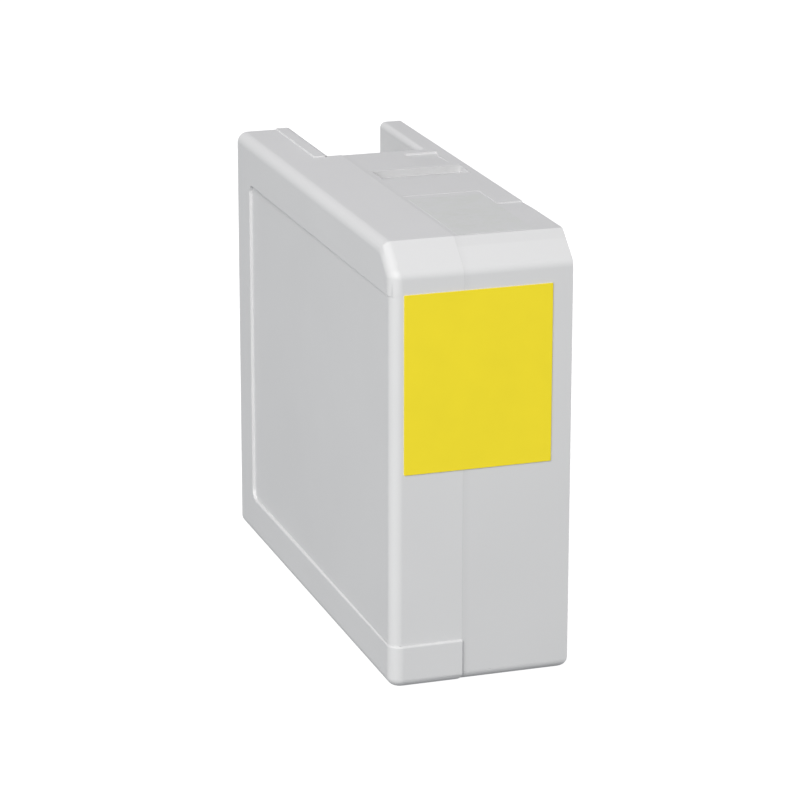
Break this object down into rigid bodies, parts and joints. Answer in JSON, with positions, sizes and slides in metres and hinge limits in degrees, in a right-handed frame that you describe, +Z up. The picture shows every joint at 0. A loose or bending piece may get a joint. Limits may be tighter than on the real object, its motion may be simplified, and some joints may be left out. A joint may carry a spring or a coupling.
{
  "type": "ink cartridge",
  "caption": "Narrow desktop-printer ink cartridge: two-part white case around an ink pouch, yellow colour label on the front, notch at the top rear.",
  "frame": {"origin": "under the middle of the case, on the surface it stands on", "axes": "+Z up, -Y towards the face with the colour label, +X to the right seen from that face"},
  "size_m": [0.03, 0.0854, 0.0722],
  "materials": {
    "white_shell": "fine satin moulding, slightly glossy on the bevel and rounded edges",
    "grey_moulding": "satin moulding",
    "natural_moulding": "unpigmented polypropylene, slightly translucent",
    "yellow_film": "printed yellow film, satin, no lettering",
    "pale_film": "blank pale grey film, satin, no lettering",
    "clear_film": "thin clear barrier film",
    "pouch_foil": "aluminium-laminated film, wrinkled, metallic sheen",
    "foam": "open-cell foam, charcoal",
    "black_rubber": "moulded elastomer",
    "spring_steel": "drawn stainless wire",
    "sensor_metal": "stainless plate with a ceramic element",
    "terminal_metal": "phosphor bronze strip",
    "board_green": "green solder resist on glass-fibre board",
    "pad_gold": "gold-plated contacts",
    "chip_black": "moulded epoxy, blank"
  },
  "bodies": {
    "case": {"case_body": "white_shell", "side_cover": "white_shell", "coding_key": "grey_moulding", "colour_label": "yellow_film", "top_label": "pale_film", "sealing_film": "clear_film", "ink_pack": "pouch_foil", "pack_spout": "natural_moulding", "spout_seal": "black_rubber", "front_spacer": "foam", "rear_spacer": "foam", "sensor_base": "natural_moulding", "sensor_film": "clear_film", "sensor_cover": "natural_moulding", "sensor_spring": "spring_steel", "piezo_sensor": "sensor_metal", "sensor_terminals": "terminal_metal", "memory_board": "board_green", "contact_pads": "pad_gold", "memory_chip": "chip_black", "supply_port": "natural_moulding", "port_cap": "grey_moulding", "supply_seal": "black_rubber", "supply_spring": "spring_steel", "air_port_seal": "black_rubber"},
    "valve": {"supply_valve": "grey_moulding"},
    "plate": {"pressure_plate": "grey_moulding"}
  },
  "joints": [
    {"name": "supply_valve_slide", "type": "slide", "parent": "case", "child": "valve", "axis": [0, 1, 0], "range_m": [-0.003, 0], "stiffness_N_per_m": 150, "springref_m": 0.002, "deforming": ["supply_spring"]},
    {"name": "pressure_plate_slide", "type": "slide", "parent": "case", "child": "plate", "axis": [1, 0, 0], "range_m": [-0.0012, 0], "stiffness_N_per_m": 200, "springref_m": 0.0015, "deforming": ["sensor_spring"]}
  ]
}
